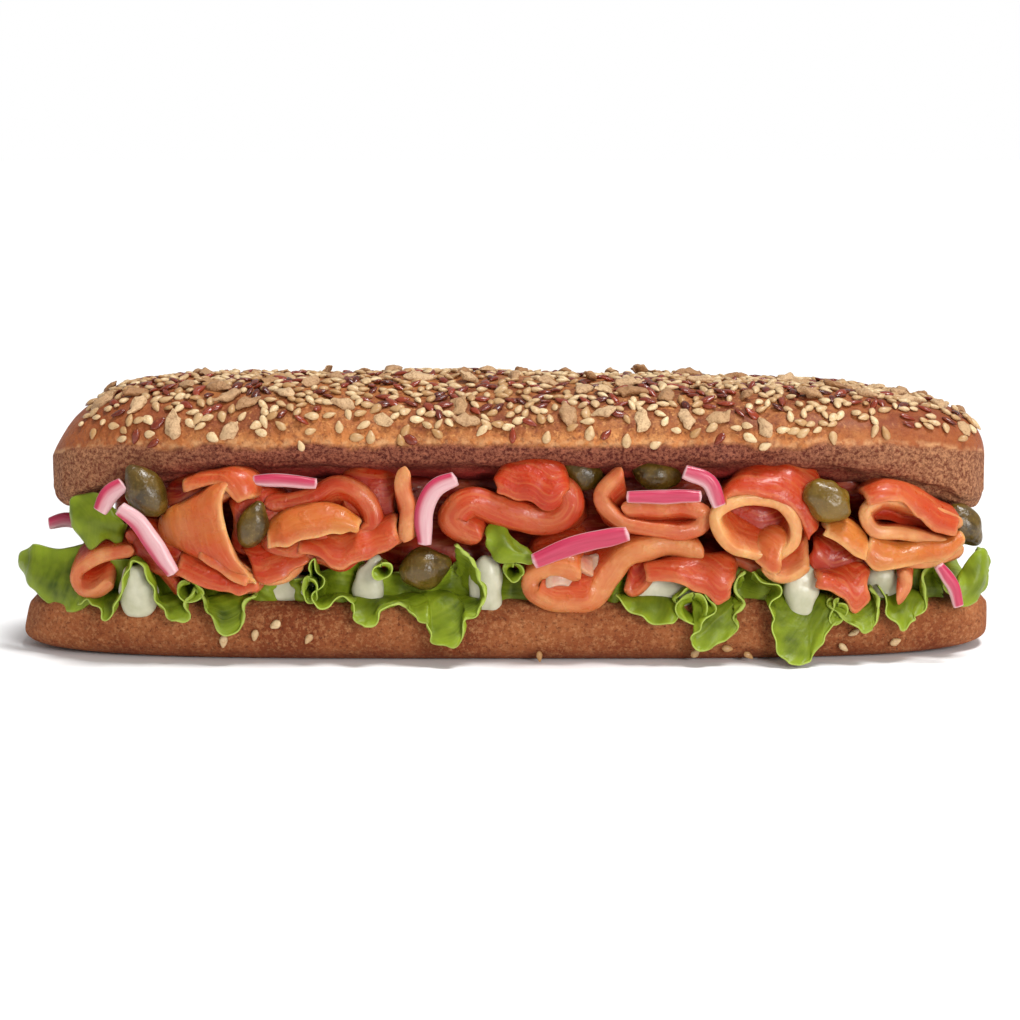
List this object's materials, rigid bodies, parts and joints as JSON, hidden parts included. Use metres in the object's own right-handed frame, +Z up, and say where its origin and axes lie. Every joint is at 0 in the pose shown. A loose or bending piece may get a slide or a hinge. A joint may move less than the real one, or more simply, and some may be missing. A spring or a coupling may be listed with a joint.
{
  "type": "salmon sandwich",
  "caption": "Long seeded wholegrain roll, cut through and filled with lettuce, cream, folded smoked salmon, pickled red onion strips and caper berries.",
  "frame": {"origin": "middle of the footprint, on the surface that the sandwich rests on", "axes": "+X along the roll, -Y towards the side that shows most filling, +Z up"},
  "size_m": [0.282, 0.0894, 0.0786],
  "materials": {
    "bread_crumb": "soft matte crumb and thin baked skin",
    "seeded_crust": "satin crust with matte seeds",
    "smoked_salmon": "moist gloss",
    "lettuce": "waxy satin",
    "cream": "soft wet sheen",
    "pickled_onion": "wet, slightly see-through",
    "caper_berry": "moist satin"
  },
  "bodies": {
    "root": {"bread_bottom": "bread_crumb", "bread_top": "seeded_crust", "caper_back_middle": "caper_berry", "caper_end": "caper_berry", "caper_fold": "caper_berry", "caper_leaf": "caper_berry", "caper_left": "caper_berry", "caper_lump": "caper_berry", "caper_middle": "caper_berry", "caper_right": "caper_berry", "cream_back_right": "cream", "cream_centre": "cream", "cream_curl": "cream", "cream_drop": "cream", "cream_end": "cream", "cream_flat": "cream", "cream_left": "cream", "cream_right": "cream", "cream_spread": "cream", "lettuce_centre": "lettuce", "lettuce_end": "lettuce", "lettuce_left": "lettuce", "lettuce_middle": "lettuce", "lettuce_outer": "lettuce", "lettuce_peak": "lettuce", "lettuce_right": "lettuce", "lettuce_shoulder": "lettuce", "onion_arc": "pickled_onion", "onion_back_right": "pickled_onion", "onion_bar": "pickled_onion", "onion_curved": "pickled_onion", "onion_end": "pickled_onion", "onion_flat": "pickled_onion", "onion_front": "pickled_onion", "onion_long": "pickled_onion", "onion_tip": "pickled_onion", "onion_top_left": "pickled_onion", "salmon_back_sheet": "smoked_salmon", "salmon_bed": "smoked_salmon", "salmon_big_roll": "smoked_salmon", "salmon_calla": "smoked_salmon", "salmon_dark_fold": "smoked_salmon", "salmon_flank": "smoked_salmon", "salmon_flap": "smoked_salmon", "salmon_hook_loop": "smoked_salmon", "salmon_long_fold": "smoked_salmon", "salmon_loop_arm": "smoked_salmon", "salmon_loop_upper": "smoked_salmon", "salmon_low_fold": "smoked_salmon", "salmon_pleat": "smoked_salmon", "salmon_pretzel": "smoked_salmon", "salmon_right_flap": "smoked_salmon", "salmon_right_loop": "smoked_salmon", "salmon_roll_left": "smoked_salmon", "salmon_strip": "smoked_salmon", "salmon_tongue": "smoked_salmon", "salmon_top_fold": "smoked_salmon", "salmon_upright": "smoked_salmon", "salmon_wedge": "smoked_salmon"}
  },
  "joints": []
}
